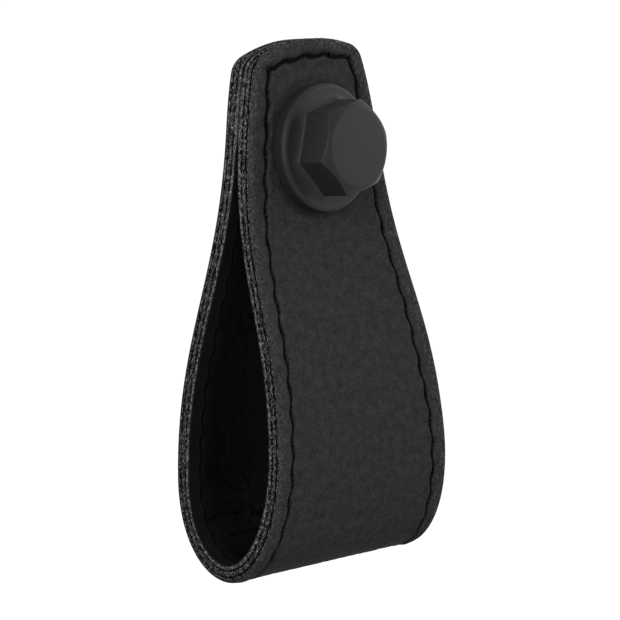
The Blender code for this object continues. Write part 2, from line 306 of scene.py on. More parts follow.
side_points, _ = bezier(
    np.array([FOLD_HALF_WIDTH, -FOLD_DROP]),
    np.array([FOLD_HALF_WIDTH - LOWER_SLANT * LOWER_REACH, -FOLD_DROP + LOWER_REACH]),
    np.array([TOP_HALF_WIDTH + UPPER_SLANT * UPPER_REACH, TOP_HEIGHT - UPPER_REACH]),
    np.array([TOP_HALF_WIDTH, TOP_HEIGHT]),
    OUTLINE_STEPS,
)
side_points = np.vstack([side_points, [[TOP_HALF_WIDTH, TOP_HEIGHT]]])


def half_width(along):
    """Half of the strap's width, and how far a step in from the slanted side reaches across."""
    height = np.interp(along, PATH_S, PATH_YZ[:, 1])
    width = np.interp(height, side_points[:, 1], side_points[:, 0])
    slope = np.interp(
        height, side_points[:-1, 1], np.diff(side_points[:, 0]) / np.diff(side_points[:, 1])
    )
    return width, np.sqrt(1.0 + slope**2)


def arch_drop(across):
    """How far the arched end lies below its middle; it leans a little, as it was cut by hand."""
    level = np.sqrt(ARCH_RADIUS**2 - np.clip(across, -ARCH_LIMIT, ARCH_LIMIT) ** 2)
    return ARCH_RADIUS - level - END_LEAN * across


def smooth(low, high, value):
    """0 below the low limit, 1 above the high one, and a soft step between."""
    share = np.clip((value - low) / (high - low), 0.0, 1.0)
    return share * share * (3.0 - 2.0 * share)


def on_blank(side, end, across_share, row):
    """Place on the flat blank, from the distances to the nearest side and end, both for a sharp corner."""
    reach = np.full_like(side, CORNER_REACH)
    near = (np.abs(side) < reach) & (end < reach)
    a = np.where(near, reach - side, 1.0)
    b = np.where(near, reach - end, 1.0)
    pull = np.maximum(a, b) / np.hypot(a, b)
    side = np.where(near, reach - a * pull, side)
    end = np.where(near, reach - b * pull, end)
    front = row < LENGTH / 2
    along = np.where(near, np.where(front, end, LENGTH - end), row)
    across = np.zeros_like(side)
    fade = 1.0 - smooth(0.0, STRAIGHT_END, end)
    for _ in range(6):
        drop = arch_drop(across) * fade
        placed = np.where(front, along + drop, along - drop)
        width, lean = half_width(placed)
        across = np.sign(across_share) * (width - side * lean)
        inner = np.abs(across_share) < 1.0
        across = np.where(inner, across_share * (width - side * lean), across)
    return across, placed


print("half width %.2f mm at the fold, %.2f at the top" % (half_width(LENGTH / 2)[0], half_width(0.0)[0]))

# %% [markdown]
# ## One blank for each ply
#
# A grid is the natural start for sheet leather. Its lines run close together near the edge and the seam,
# where the leather turns and dips, and wider in the field. The rim is extruded down in thin steps for the
# cut edge, the underside is bridged from side to side, and the two ends are filled.
# The grid's corner is drawn in to a round one, as the knife cuts it.

# %% Rows and columns of the grid
EDGE_STEPS = np.array([
    0.0, 0.04, 0.09, 0.15, 0.22, 0.30, 0.39, 0.49, 0.60, 0.75, 0.95, 1.15, 1.35, 1.52,
    1.66, 1.78, 1.89, 2.00, 2.11, 2.22, 2.33, 2.44, 2.55, 2.66, 2.77, 2.89, 3.03, 3.20, 3.45,
])


def read_points(piece):
    """Coordinates of a mesh, with one row for each point."""
    co = np.zeros(len(piece.data.vertices) * 3)
    piece.data.vertices.foreach_get("co", co)
    return co.reshape(-1, 3)


def spaced(steps, pitch, whole):
    """Distances from one edge to the other: the close steps at both ends, even ones between."""
    middle = np.linspace(steps[-1], whole - steps[-1], max(int(round((whole - 2 * steps[-1]) / pitch)), 1) + 1)
    return np.concatenate([steps, middle[1:-1], whole - steps[::-1]])


def blank(name, edge_steps, across_pitch, along_pitch):
    """A flat grid in the blank's outline. Gives the piece and the place and edge distance of its points."""
    inner = max(int(round(2 * (FOLD_HALF_WIDTH - edge_steps[-1]) / across_pitch)), 1)
    shares = np.linspace(-1.0, 1.0, inner + 1)[1:-1]
    edges = len(edge_steps)
    side = np.concatenate([edge_steps, np.full(len(shares), edge_steps[-1]), edge_steps[::-1]])
    share = np.concatenate([np.full(edges, -1.0), shares, np.full(edges, 1.0)])
    rows = spaced(edge_steps, along_pitch, LENGTH)
    deselect()
    bpy.ops.mesh.primitive_grid_add(x_subdivisions=len(side) - 1, y_subdivisions=len(rows) - 1, size=1.0)
    piece = bpy.context.object
    piece.name = name
    piece.data.name = name
    flat = read_points(piece)
    column = np.round((flat[:, 0] + 0.5) * (len(side) - 1)).astype(int)
    row = np.round((flat[:, 1] + 0.5) * (len(rows) - 1)).astype(int)
    end = np.minimum(rows[row], LENGTH - rows[row])
    across, along = on_blank(side[column], end, share[column], rows[row])
    from_side = np.where(np.abs(share[column]) == 1.0, side[column], edge_steps[-1])
    edge = np.minimum(from_side, end)
    field = edge_steps[-1] + np.minimum(
        (1 - np.abs(share[column])) * (half_width(along)[0] - edge_steps[-1]),
        np.maximum(end - edge_steps[-1], 0.0),
    )
    edge = np.where(edge >= edge_steps[-1] - 1e-6, field, edge)
    rim = rim_numbers(column, row, len(side), len(rows))
    return piece, {
        "across": across,
        "along": along,
        "edge": edge,
        "rim": rim,
        "side_first": from_side <= end,
        "columns": len(side),
        "rows": len(rows),
    }


def rim_numbers(column, row, columns, rows):
    """Each rim point's number, counted once round the grid, and -1 for the points inside."""
    number = np.full(len(column), -1)
    front = row == 0
    number[front] = column[front]
    right = column == columns - 1
    number[right] = columns - 1 + row[right]
    back = row == rows - 1
    number[back] = columns - 1 + rows - 1 + (columns - 1 - column[back])
    left = (column == 0) & (row > 0)
    number[left] = 2 * (columns - 1) + rows - 1 + (rows - 1 - row[left])
    return number


print("close steps at the edge:", len(EDGE_STEPS))

# %% The cut edge and the underside
def keep_number(piece, name, values, kind="FLOAT"):
    """Store one number for each point of the mesh under a name."""
    kept = piece.data.attributes.get(name) or piece.data.attributes.new(name, kind, "POINT")
    kept.data.foreach_set("value", values)


def read_number(piece, name, kind=float):
    values = np.zeros(len(piece.data.vertices), kind)
    piece.data.attributes[name].data.foreach_get("value", values)
    return values


def selected_points(piece):
    chosen = np.zeros(len(piece.data.vertices), bool)
    piece.data.vertices.foreach_get("select", chosen)
    return chosen


def select_edges(piece, chosen):
    """Select the edges whose two points are both chosen, and nothing else."""
    bpy.ops.object.mode_set(mode="EDIT")
    bpy.ops.mesh.select_mode(type="EDGE")
    bpy.ops.mesh.select_all(action="DESELECT")
    bpy.ops.object.mode_set(mode="OBJECT")
    ends = np.zeros(len(piece.data.edges) * 2, int)
    piece.data.edges.foreach_get("vertices", ends)
    picked = chosen[ends.reshape(-1, 2)].all(axis=1)
    piece.data.edges.foreach_set("select", picked)


def thicken(piece, points, rim_shape, levels):
    """Extrude the rim once for each level of the cut edge, then bridge the underside and fill the ends."""
    keep_number(piece, "rim", points["rim"], "INT")
    flat = np.stack([points["across"], points["along"], points["depth"]], axis=1)
    piece.data.vertices.foreach_set("co", flat.ravel())
    order = np.argsort(points["rim"])[(points["rim"] < 0).sum():]
    line = flat[order]
    tangent = np.roll(line, -1, axis=0) - np.roll(line, 1, axis=0)
    outward = np.stack([tangent[:, 1], -tangent[:, 0]], axis=1)
    outward /= np.linalg.norm(outward, axis=1)[:, None]
    middle = line[:, :2].mean(axis=0)
    if ((line[:, :2] - middle) * outward).sum() < 0:
        outward = -outward
    bpy.ops.object.mode_set(mode="EDIT")
    bpy.ops.mesh.select_mode(type="EDGE")
    bpy.ops.mesh.select_all(action="DESELECT")
    bpy.ops.mesh.select_non_manifold(
        use_wire=False, use_boundary=True, use_multi_face=False, use_non_contiguous=False, use_verts=False
    )
    for level in levels:
        bpy.ops.mesh.extrude_region_move()
        bpy.ops.object.mode_set(mode="OBJECT")
        fresh = selected_points(piece)
        number = read_number(piece, "rim", int)[fresh]
        out, down = rim_shape(line[number], level)
        co = read_points(piece)
        co[fresh, :2] = line[number, :2] + outward[number] * out[:, None]
        co[fresh, 2] = down
        piece.data.vertices.foreach_set("co", co.ravel())
        bpy.ops.object.mode_set(mode="EDIT")
    bpy.ops.object.mode_set(mode="OBJECT")
    last = selected_points(piece)
    number = read_number(piece, "rim", int)
    columns = points["columns"]
    rows = points["rows"]
    right = last & (number >= columns - 1) & (number <= columns + rows - 2)
    left = last & ((number >= 2 * columns + rows - 3) | (number == 0))
    select_edges(piece, right | left)
    bpy.ops.object.mode_set(mode="EDIT")
    bpy.ops.mesh.bridge_edge_loops()
    bpy.ops.mesh.select_all(action="SELECT")
    bpy.ops.mesh.fill_holes(sides=0)
    bpy.ops.object.mode_set(mode="OBJECT")


# %% [markdown]
# ## The seam
#
# One row of stitches runs round the whole strap, 2 mm in from the edge, with sharp corners at both ends.
# It was guided by hand, so on the long sides it strays further in, by up to 0.65 mm. The two tables say by
# how much at which distance from the front end.
# Each stitch is pulled tight, so it sinks into a groove, and the leather dips further at every hole.
# The holes are placed first, because the groove, the puckers and the threads all follow them.

# %% Stitch holes and the groove between them
SEAM_INSET = 2.0
STITCH_LENGTH = 3.3
END_STITCHES = 4
STRAY_LEFT = (
    (3.2, 0.0), (6.0, 0.45), (11.0, 0.65), (17.5, 0.62), (20.5, 0.40), (26.0, 0.34), (31.0, 0.14), (60.0, 0.05),
)
STRAY_RIGHT = (
    (5.0, 0.0), (17.0, 0.38), (30.0, 0.42), (36.0, 0.65), (41.0, 0.62), (45.0, 0.35), (55.0, 0.30), (61.0, 0.0),
)
STRAY_FADE = 12.0
GROOVE_DEPTH = 0.35
GROOVE_HALF_WIDTH = 0.25
GROOVE_WIDER = 0.40
HOLE_DEPTH = 0.34
HOLE_RADIUS = 0.21
WAVE = 0.13
PUFF = 0.06

corner_across = TOP_HALF_WIDTH - SEAM_INSET
for _ in range(12):
    corner_along = SEAM_INSET + arch_drop(corner_across)
    corner_width, corner_lean = half_width(corner_along)
    corner_across = corner_width - SEAM_INSET * corner_lean
SIDE_STITCHES = int(round((LENGTH - 2 * corner_along) / STITCH_LENGTH))


def stray(sign, along):
    """How much further in than its plain inset the seam runs on one long side."""
    left = np.interp(along, *zip(*STRAY_LEFT))
    right = np.interp(along, *zip(*STRAY_RIGHT))
    return np.where(np.asarray(sign) < 0, left, right) * smooth(0.0, STRAY_FADE, LENGTH - along)


def side_seam(sign, phase):
    """Place of the seam on one long side, where each whole phase is a hole."""
    along = corner_along + (LENGTH - 2 * corner_along) * phase / SIDE_STITCHES
    width, lean = half_width(along)
    return np.stack([sign * (width - (SEAM_INSET + stray(sign, along)) * lean), along], axis=-1)


def end_seam(back, phase):
    """Place of the seam along one arched end."""
    across = corner_across * (2.0 * phase / END_STITCHES - 1.0)
    along = SEAM_INSET + arch_drop(across)
    return np.stack([across, LENGTH - along if back else along], axis=-1)


SEAM_ROWS = [
    (lambda phase: side_seam(1.0, phase), SIDE_STITCHES),
    (lambda phase: side_seam(-1.0, phase), SIDE_STITCHES),
    (lambda phase: end_seam(False, phase), END_STITCHES),
    (lambda phase: end_seam(True, phase), END_STITCHES),
]
HOLES = np.concatenate([row(np.arange(count + 1)) for row, count in SEAM_ROWS])


def seam_dip(points):
    """How far the seam draws the leather down at each point of a blank; the pull's share is kept as well."""
    flat = np.stack([points["across"], points["along"]], axis=1)
    nearest = np.full(len(flat), 1e9)
    for hole in HOLES:
        nearest = np.minimum(nearest, np.linalg.norm(flat - hole, axis=1))
    side_phase = (points["along"] - corner_along) / (LENGTH - 2 * corner_along) * SIDE_STITCHES
    end_phase = (points["across"] / corner_across + 1.0) / 2.0 * END_STITCHES
    phase = np.where(points["side_first"], side_phase, end_phase)
    inset = SEAM_INSET + np.where(points["side_first"], stray(np.sign(points["across"]), points["along"]), 0.0)
    away = points["edge"] - inset - WAVE * np.sin(2 * math.pi * phase)
    near_end = 1.0 - smooth(8.0, 20.0, np.minimum(points["along"], LENGTH - points["along"]))
    reach = GROOVE_HALF_WIDTH * (1.0 + 0.3 * np.cos(2 * math.pi * phase) + GROOVE_WIDER * near_end)
    groove = GROOVE_DEPTH * np.exp(-((away / reach) ** 2))
    hole = HOLE_DEPTH * np.exp(-((nearest / HOLE_RADIUS) ** 2))
    # The pull's share is kept, and the finishes darken by it as painted shade.
    points["seam"] = np.clip(0.95 * groove / GROOVE_DEPTH + 0.9 * hole / HOLE_DEPTH, 0.0, 1.0)
    puff = PUFF * np.exp(-(((np.abs(away) - 0.75) / 0.3) ** 2)) * (0.5 - 0.5 * np.cos(2 * math.pi * phase))
    return groove + hole - puff


print("stitches: %d on each side, %d on each end" % (SIDE_STITCHES, END_STITCHES))

# %% [markdown]
# ## The grain ply
#
# The outer ply shows the grain: a fine pebble at the top that grows coarser where the strap bends.
# Its edge is rolled over softly before the cut, and a smooth bead is left between the edge and the seam.
# Pebbles are cells with creases between them, so a cell pattern is pressed into the blank's heights.
# The pattern's noise starts from a fixed seed, so the leather comes out the same each time.

# %% Pebbles, bead and rolled edge
ROLL_REACH = 0.46
ROLL_DROP = 0.36
BEAD = 0.10
FINE_PEBBLE = 0.75
COARSE_PEBBLE = 1.25
FINE_CREASE = 0.018
COARSE_CREASE = 0.048
COARSE_STARTS = (24.0, 48.0)
COARSE_ENDS = (84.0, 106.0)
SWELL = 0.03
OUTER_PITCH = (0.34, 0.23)
OUTER_LEVELS = [(0.43, 0.0, 0.05), (0.50, 0.01, 0.08), (0.58, 0.04, 0.09), (OUTER_PLY, 0.18, 0.04)]
NOISE_SEED = 11

noise.seed_set(NOISE_SEED)


def creases(points, size, stretch, seed):
    """Crease strength between leather cells of a size: 1 in a crease, 0 on a cell."""
    found = np.zeros(len(points["across"]))
    for index, (x, y) in enumerate(zip(points["across"] / size, points["along"] / size / stretch)):
        spot = Vector((x, y, seed))
        spot += noise.noise_vector(spot * 0.9) * 0.35
        near = noise.voronoi(spot)[0]
        found[index] = near[1] - near[0]
    return np.clip(1.0 - found / 0.30, 0.0, 1.0) ** 2


def swell(points, size, seed):
    """A slow rise and fall of the leather, from -1 to 1."""
    return np.array([
        noise.noise(Vector((x / size, y / size, seed)))
        for x, y in zip(points["across"], points["along"])
    ])


def rolled(edge, reach, drop):
    """How far a rolled edge turns down at a distance from the rim."""
    share = np.clip(edge / reach, 0.0, 1.0)
    return drop * (1.0 - np.sqrt(1.0 - (1.0 - share) ** 2))


def cut_edge(line, level):
    """Rough cut leather: how far out and how deep each rim point of one level lies."""
    depth, inset, rough = level
    out = np.zeros(len(line))
    down = np.zeros(len(line))
    for index, (x, y) in enumerate(line[:, :2]):
        spot = Vector((x * 2.0, y * 2.0, depth * 6.0))
        out[index] = -inset + rough * noise.noise(spot) + rough * 0.8 * noise.noise(spot * 2.6)
        down[index] = depth + rough * 0.3 * noise.noise(spot * 1.3 + Vector((9.0, 0.0, 0.0)))
    return out, down


outer, points = blank("grain_leather_ply", EDGE_STEPS, *OUTER_PITCH)
bent = smooth(*COARSE_STARTS, points["along"]) * (1.0 - smooth(*COARSE_ENDS, points["along"]))
field = smooth(2.1, 3.4, points["edge"])
pebbles = FINE_CREASE * (1.0 - bent) * creases(points, FINE_PEBBLE, 1.0, 3.0)
pebbles += COARSE_CREASE * bent * creases(points, COARSE_PEBBLE, 1.5, 7.0)
bead = BEAD * np.sin(math.pi * np.clip((points["edge"] - 0.25) / 1.5, 0.0, 1.0))
points["depth"] = (
    rolled(points["edge"], ROLL_REACH, ROLL_DROP)
    + pebbles * (0.25 + 0.75 * field)
    + seam_dip(points)
    - bead
    - SWELL * swell(points, 5.0, 2.0) * field
)
thicken(outer, points, cut_edge, OUTER_LEVELS)
print("grain ply: %d points" % len(outer.data.vertices))


# %% [markdown]
# ## The core
#
# Between the grain ply and the lining lies a core of split leather. Only its cut edge shows, so its faces
# need few lines across. Away from the edge it swells a little into both neighbours, as glue would, so that
# no light gets through between the plies.

# %% The core ply
CORE_STEPS = np.array([0.0, 0.05, 0.11, 0.18, 0.26, 0.36, 0.48, 0.60])
CORE_PITCH = (1.2, 0.15)
CORE_SWELL = 0.10
SWELL_INSET = 0.9


def cut_levels(top, bottom, count, inset, rough):
    """Depth, inset and roughness of each line of a cut edge, rounded in a little at both of its corners."""
    shares = np.linspace(0.0, 1.0, count + 1)[1:]
    return [
        (top + (bottom - top) * share, inset * (2 * share - 1) ** 4, rough * (1.0 - 0.6 * (2 * share - 1) ** 4))
        for share in shares
    ]


core, core_points = blank("core_ply", CORE_STEPS, *CORE_PITCH)
core_points["depth"] = CORE_TOP + rolled(core_points["edge"], 0.10, 0.05)
core_points["depth"] -= CORE_SWELL * smooth(0.6, 1.6, core_points["edge"])
core_levels = cut_levels(CORE_TOP + 0.05, CORE_TOP + CORE_PLY, 7, 0.16, 0.16)
core_levels.append((CORE_TOP + CORE_PLY + CORE_SWELL, SWELL_INSET, 0.0))
thicken(core, core_points, cut_edge, core_levels)
print("core ply: %d points" % len(core.data.vertices))

# %% [markdown]
# ## The lining
#
# The lining faces the finger: it is smooth, finely crackled, and creased across where the loop bends,
# because the inside of a bend has to grow shorter. Sharp creases are placed one by one and a noise gives
# the soft crumple. Beside the shank the two linings are pressed on each other out to their edges.

# %% The lining's relief
LINING_STEPS = np.array([
    0.0, 0.05, 0.11, 0.18, 0.26, 0.36, 0.48, 0.60, 0.85, 1.15, 1.45, 1.65,
    1.80, 1.92, 2.04, 2.16, 2.28, 2.40, 2.52, 2.65, 2.80, 3.00, 3.40,
])
LINING_PITCH = (0.34, 0.26)
FOLD_AT = float(PATH_S[np.argmin(PATH_YZ[:, 1])])
BEND_CREASE = 0.30
CREASE_HALF_WIDTH = 0.15
BEND_CREASES = (
    (9.9, -13.2, -6.6), (6.9, -11.0, -3.2), (9.2, -6.6, -1.0), (4.2, 1.5, 9.0), (2.2, -8.0, 4.0),
    (11.5, 4.0, 11.0), (-3.0, -9.0, 2.0), (-6.2, -2.0, 9.0), (-8.8, -10.0, -3.0),
)
CRUMPLE = 0.11
CRACKLE = 0.018
LINING_DIP = 0.7
DEEPEST_DIP = 0.44
SHUT_FROM = (3.0, 4.5)
SHUT_TO = (10.5, 12.5)


def bend_creases(points):
    """Sharp creases across the lining round the fold, each from one place across the strap to another."""
    wander = 0.55 * swell(points, 2.6, 21.0) + 0.25 * swell(points, 0.9, 24.0)
    found = np.zeros(len(points["across"]))
    for place, start, end in BEND_CREASES:
        away = points["along"] - FOLD_AT - place - wander
        reach = smooth(start, start + 1.2, points["across"]) * (1.0 - smooth(end - 1.2, end, points["across"]))
        found = np.maximum(found, np.exp(-((away / CREASE_HALF_WIDTH) ** 2)) * reach)
    return found


def crumples(points):
    """Irregular folds of leather that is too long for the inside of the loop: 1 on a ridge, 0 beside it."""
    found = np.zeros(len(points["across"]))
    for index, (x, y) in enumerate(zip(points["across"], points["along"])):
        spot = Vector((x / 2.4, y / 3.6, 31.0))
        spot += noise.noise_vector(spot * 1.5) * 0.7
        ridge = max(0.0, 1.0 - abs(noise.noise(spot)) / 0.12)
        found[index] = ridge**1.5 * min(max(0.35 + 2.0 * noise.noise(spot * 0.7), 0.0), 1.0)
    return found


lining, lining_points = blank("lining_ply", LINING_STEPS, *LINING_PITCH)
inside = smooth(0.3, 1.2, lining_points["edge"])
bent_across = bend_creases(lining_points) * inside
dips = (
    LINING_DIP * np.maximum(seam_dip(lining_points), 0.0)
    + BEND_CREASE * bent_across
    + CRACKLE * creases(lining_points, 2.2, 1.2, 15.0) * inside
)
# The creases join the seam's share, which the finish darkens as painted shade.
lining_points["seam"] = np.maximum(lining_points["seam"], bent_across)
from_end = np.minimum(lining_points["along"], LENGTH - lining_points["along"])
pressed_shut = smooth(*SHUT_FROM, from_end) * (1.0 - smooth(*SHUT_TO, from_end))
lining_points["depth"] = (
    LEG
    - rolled(lining_points["edge"], 0.16, 0.11) * (1.0 - pressed_shut)
    + 0.6 * ENDS_GAP * pressed_shut
    - DEEPEST_DIP * np.tanh(dips / DEEPEST_DIP)
    + CRUMPLE * crumples(lining_points) * smooth(2.2, 3.0, lining_points["edge"])
)
thicken(lining, lining_points, cut_edge, cut_levels(LEG - 0.11, LINING_TOP, 6, 0.10, 0.10))
print("lining: %d points, fold at %.1f mm" % (len(lining.data.vertices), FOLD_AT))

# %% [markdown]
# ## Folding, and the hole for the shank
#
# The flat plies are now bent round the loop's side view, each point at its own depth, so the plies stay
# parallel as glued leather does. Before that, the flat place of each point is kept as its UV, so that the
# grain is laid along the strap. A punch cuts both ends for the head's shank, and under the round flange
# the grain ply is pressed in.

# %% Fold, press and punch
FLAT_SHEET = 150.0
SHANK_HOLE = 3.1
FLANGE_RADIUS = 7.5
FLANGE_STANDS_OFF = 0.2
PRESS_DEPTH = 0.14
PRESS_MARGIN = 0.2
PRESS_SLOPE = 0.8
PRESS_SOFT = 0.10
PUSHED_UP = 0.07


def only(piece):
    """Select one piece alone and make it the active one."""
    deselect()
    piece.select_set(True)
    bpy.context.view_layer.objects.active = piece


def face_outwards(piece):
    """Turn all the faces of one piece outwards."""
    only(piece)
    bpy.ops.object.mode_set(mode="EDIT")
    bpy.ops.mesh.select_all(action="SELECT")
    bpy.ops.mesh.normals_make_consistent(inside=False)
    bpy.ops.object.mode_set(mode="OBJECT")


def lay_flat_map(piece):
    """UV map of the flat blank: 150 mm of leather fill the whole map."""
    co = read_points(piece)
    corners = np.zeros(len(piece.data.loops), int)
    piece.data.loops.foreach_get("vertex_index", corners)
    while piece.data.uv_layers:
        piece.data.uv_layers.remove(piece.data.uv_layers[0])
    sheet = piece.data.uv_layers.new(name="flat_leather")
    spots = np.stack([0.5 + co[corners, 0] / FLAT_SHEET, co[corners, 1] / FLAT_SHEET], axis=1)
    sheet.data.foreach_set("uv", spots.ravel())


def enclosed(piece):
    """Volume inside a closed piece, in cubic millimetres; below zero when its faces look inwards."""
    piece.data.calc_loop_triangles()
    corners = np.zeros(len(piece.data.loop_triangles) * 3, int)
    piece.data.loop_triangles.foreach_get("vertices", corners)
    a, b, c = (read_points(piece) / MM)[corners.reshape(-1, 3)].transpose(1, 0, 2)
    return float((a * np.cross(b, c)).sum() / 6.0)


def fold(piece, points, pressed=False):
    """Bend one flat ply round the loop; the grain ply is pressed in under the flange as well."""
    count = len(piece.data.vertices)
    keep_number(piece, "cut", (np.arange(count) >= len(points["across"])).astype(float))
    for name in ("edge", "seam"):
        values = np.zeros(count)
        if name in points:
            values[:len(points[name])] = points[name]
        keep_number(piece, name, values)
    lay_flat_map(piece)
    co = read_points(piece)
    keep_number(piece, "depth", co[:, 2])
    placed = folded(co[:, 0], co[:, 1], co[:, 2]) / MM
    if pressed:
        reach = np.hypot(placed[:, 0], placed[:, 2])
        front = co[:, 1] < LENGTH / 2
        face = np.clip(1.0 - co[:, 2] / OUTER_PLY, 0.0, 1.0)
        lift = PUSHED_UP * np.exp(-(((reach - FLANGE_RADIUS - 1.1) / 0.6) ** 2)) * face
        limit = -CLAMPED - PRESS_DEPTH - PRESS_SLOPE * np.maximum(reach - FLANGE_RADIUS - PRESS_MARGIN, 0.0)
        y = placed[:, 1] - lift
        softened = limit + PRESS_SOFT * np.logaddexp(0.0, (y - limit) / PRESS_SOFT)
        placed[:, 1] = np.where(front & (reach < FLANGE_RADIUS + 5.0), softened, placed[:, 1])
    piece.data.vertices.foreach_set("co", (placed * MM).ravel())
    face_outwards(piece)
    if enclosed(piece) < 0.0:
        bpy.ops.object.mode_set(mode="EDIT")
        bpy.ops.mesh.flip_normals()
        bpy.ops.object.mode_set(mode="OBJECT")
    print("%s holds %.0f mm3 of leather" % (piece.name, enclosed(piece)))


def punch(pieces):
    """Cut the round hole for the shank through both ends of the strap."""
    deselect()
    bpy.ops.mesh.primitive_cylinder_add(
        vertices=96, radius=SHANK_HOLE * MM, depth=4 * CLAMPED * MM,
        location=(0.0, -CLAMPED / 2 * MM, 0.0), rotation=(math.pi / 2, 0.0, 0.0),
    )
    tool = bpy.context.object
    bpy.ops.object.transform_apply(location=True, rotation=True, scale=True)
    for piece in pieces:
        cut = piece.modifiers.new("shank hole", "BOOLEAN")
        cut.operation = "DIFFERENCE"
        cut.solver = "MANIFOLD"
        cut.object = tool
        only(piece)
        bpy.ops.object.modifier_apply(modifier=cut.name)
        bpy.ops.object.shade_smooth_by_angle(angle=math.radians(50.0))
        print(piece.name, "has", len(piece.data.polygons), "faces")
    bpy.data.objects.remove(tool, do_unlink=True)


fold(outer, points, pressed=True)
fold(core, core_points)
fold(lining, lining_points)
punch([outer, core, lining])
for piece, node, finish in (
    (outer, "outer_leather", "grain_leather"),
    (core, "core_leather", "split_leather"),
    (lining, "lining_leather", "lining_leather"),
):
    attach(piece, "root")
    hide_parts(node)


# %% [markdown]
# ## The threads
#
# A bonded sewing thread is two strands twisted together. One stitch is modelled once: two small rings,
# drawn out in steps and turned a little at each, as a rope is laid. Each copy is bent down at its two ends,
# into the holes, and follows the slight wave of the groove. The grain side and the lining have a row each.

# %% One stitch
STRAND_RADIUS = 0.12
STRAND_OFFSET = 0.10
STRAND_SIDES = 6
STITCH_STEPS = 12
STITCH_TWIST = 2.2 * 2 * math.pi
NEEDLE_DEPTH = 0.22
NEEDLE_THICKNESS = 0.90
BOBBIN_DEPTH = 0.20
BOBBIN_THICKNESS = 0.70
BOBBIN_SHARE = 0.8
DIVE = 0.40


def twisted_stitch():
    """A stitch of unit length along Y, two strands twisted round each other."""
    deselect()
    for sign in (-1.0, 1.0):
        bpy.ops.mesh.primitive_circle_add(
            vertices=STRAND_SIDES, radius=STRAND_RADIUS,
            location=(sign * STRAND_OFFSET, 0.0, 0.0), rotation=(math.pi / 2, 0.0, 0.0),
        )
        bpy.ops.object.transform_apply(location=True, rotation=True, scale=True)
        ring = bpy.context.object
        if sign < 0:
            first = ring
    first.select_set(True)
    bpy.context.view_layer.objects.active = ring
    bpy.ops.object.join()
    bpy.ops.object.mode_set(mode="EDIT")
    bpy.ops.mesh.select_mode(type="EDGE")
    bpy.ops.mesh.select_all(action="SELECT")
    for _ in range(STITCH_STEPS):
        bpy.ops.mesh.extrude_region_move(TRANSFORM_OT_translate={"value": (0.0, 1.0 / STITCH_STEPS, 0.0)})
        bpy.ops.transform.rotate(
            value=STITCH_TWIST / STITCH_STEPS, orient_axis="Y", center_override=(0.0, 0.0, 0.0)
        )
    bpy.ops.mesh.select_all(action="SELECT")
    bpy.ops.mesh.fill_holes(sides=0)
    bpy.ops.mesh.normals_make_consistent(inside=False)
    bpy.ops.object.mode_set(mode="OBJECT")
    ring.name = "one_stitch"
    return ring


def plunge(share):
    """How deep a stitch's ends go into the holes; its middle stays where it is."""
    return DIVE * np.abs(2 * share - 1) ** 5


def sewn_row(name, pattern, thickness, depth_at):
    """Copies of one stitch between all the holes, bent into the leather and folded with it."""
    shape = read_points(pattern)
    made = []
    for index, (row, count) in enumerate(SEAM_ROWS):
        inward = ((-1.0, 0.0), (1.0, 0.0), (0.0, 1.0), (0.0, -1.0))[index]
        for number in range(count):
            share = np.clip(shape[:, 1], 0.0, 1.0)
            centre = row(number + share) + np.outer(WAVE * np.sin(2 * math.pi * share), inward)
            along = row(number + 1.0) - row(float(number))
            along = along / np.linalg.norm(along)
            beside = np.array([along[1], -along[0]])
            flat = centre + np.outer(shape[:, 0] * thickness, beside)
            depth = depth_at(share) + shape[:, 2] * thickness
            mesh = pattern.data.copy()
            mesh.vertices.foreach_set("co", folded(flat[:, 0], flat[:, 1], depth).ravel())
            stitch = bpy.data.objects.new(name, mesh)
            bpy.context.scene.collection.objects.link(stitch)
            made.append(stitch)
    deselect()
    for stitch in made:
        stitch.select_set(True)
    bpy.context.view_layer.objects.active = made[0]
    bpy.ops.object.join()
    joined = bpy.context.object
    face_outwards(joined)
    bpy.ops.object.shade_smooth()
    joined.name = name
    joined.data.name = name
    print(name, "has", len(made), "stitches and", len(joined.data.polygons), "faces")
    return joined


# %% The two rows of stitches
pattern = twisted_stitch()
needle = sewn_row("needle_stitches", pattern, NEEDLE_THICKNESS, lambda share: NEEDLE_DEPTH + plunge(share))
bobbin = sewn_row(
    "bobbin_stitches", pattern, BOBBIN_THICKNESS,
    lambda share: LEG - BOBBIN_DEPTH - BOBBIN_SHARE * plunge(share),
)
bpy.data.objects.remove(pattern, do_unlink=True)
for piece, node in ((needle, "needle_thread"), (bobbin, "bobbin_thread")):
    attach(piece, "root")
    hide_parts(node)

# %% [markdown]
# ## The metal head
#
# The head is pressed like a flange bolt: six flats rise from the flange out of a hollow fillet, and the
# front is bevelled on a lathe, which leaves an arc on every flat. The model starts from the round form:
# half of the section is drawn and spun round the shank's axis. Its front is crowned a little, which keeps
# the bevel's edge soft. Then the points of the grip and of the fillet are drawn in to the six flats.
# A soft minimum leaves the small round edge that powder coat gives.

# %% The turned section
SEAT = -CLAMPED - FLANGE_STANDS_OFF
FLANGE_HEIGHT = 1.95
FLANGE_ROUNDING = 0.60
FLANGE_UNDERSIDE = 0.35
FLANGE_LAND = 0.10
NECK_FILLET = 0.62
SHOULDER = FLANGE_HEIGHT + NECK_FILLET
HEX_FLAT = 5.0
HEX_TURN = math.radians(12.6)
HEAD_FRONT = 6.63
FACE_RADIUS = 4.85
FRONT_BEVEL = 0.80
FRONT_ROUNDING = 1.1
FRONT_CROWN = 0.05
CROWN_RADIUS = FACE_RADIUS - 0.45
TURNED_WIDE = 6.1
CREST_RADIUS = FLANGE_RADIUS - FLANGE_ROUNDING - FLANGE_LAND
SHANK_RADIUS = 2.8
SHANK_END = -(CLAMPED - 0.3 + FLANGE_STANDS_OFF)
TAPPED_RADIUS = 1.65
TAPPED_DEPTH = 8.0
THREAD_PITCH = 0.7
THREAD_CUT = 0.30
SPIN_STEPS = 288


